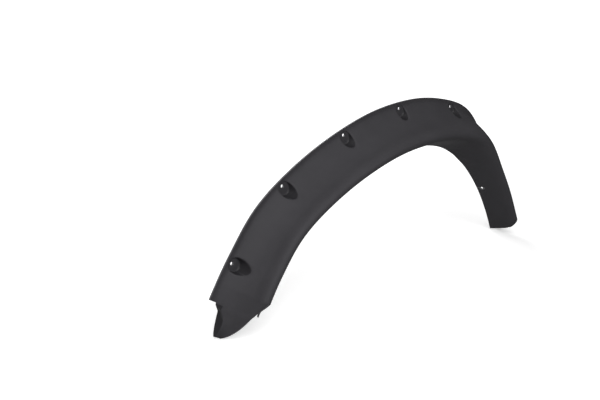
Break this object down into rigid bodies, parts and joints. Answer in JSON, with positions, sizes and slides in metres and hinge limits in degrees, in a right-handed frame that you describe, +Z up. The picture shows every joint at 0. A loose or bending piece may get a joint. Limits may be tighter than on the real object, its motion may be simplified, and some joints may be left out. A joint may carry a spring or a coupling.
{
  "type": "wheel arch trim",
  "caption": "Wide moulded plastic flare for a car's wheel opening, with screw pockets along its rim, a soft outer lip, a return wall behind it and a bare pointed front tip.",
  "frame": {"origin": "middle of the crown screw hole, at the outer face of its pocket's floor", "axes": "+X along the car from the pointed leg to the square-ended leg, -Y out from the car's side, +Z up"},
  "size_m": [0.992, 0.097, 0.3899],
  "materials": {
    "textured_plastic": "fine moulded grain, matte outside and smoother inside"
  },
  "bodies": {
    "root": {"arch_trim": "textured_plastic"}
  },
  "joints": []
}
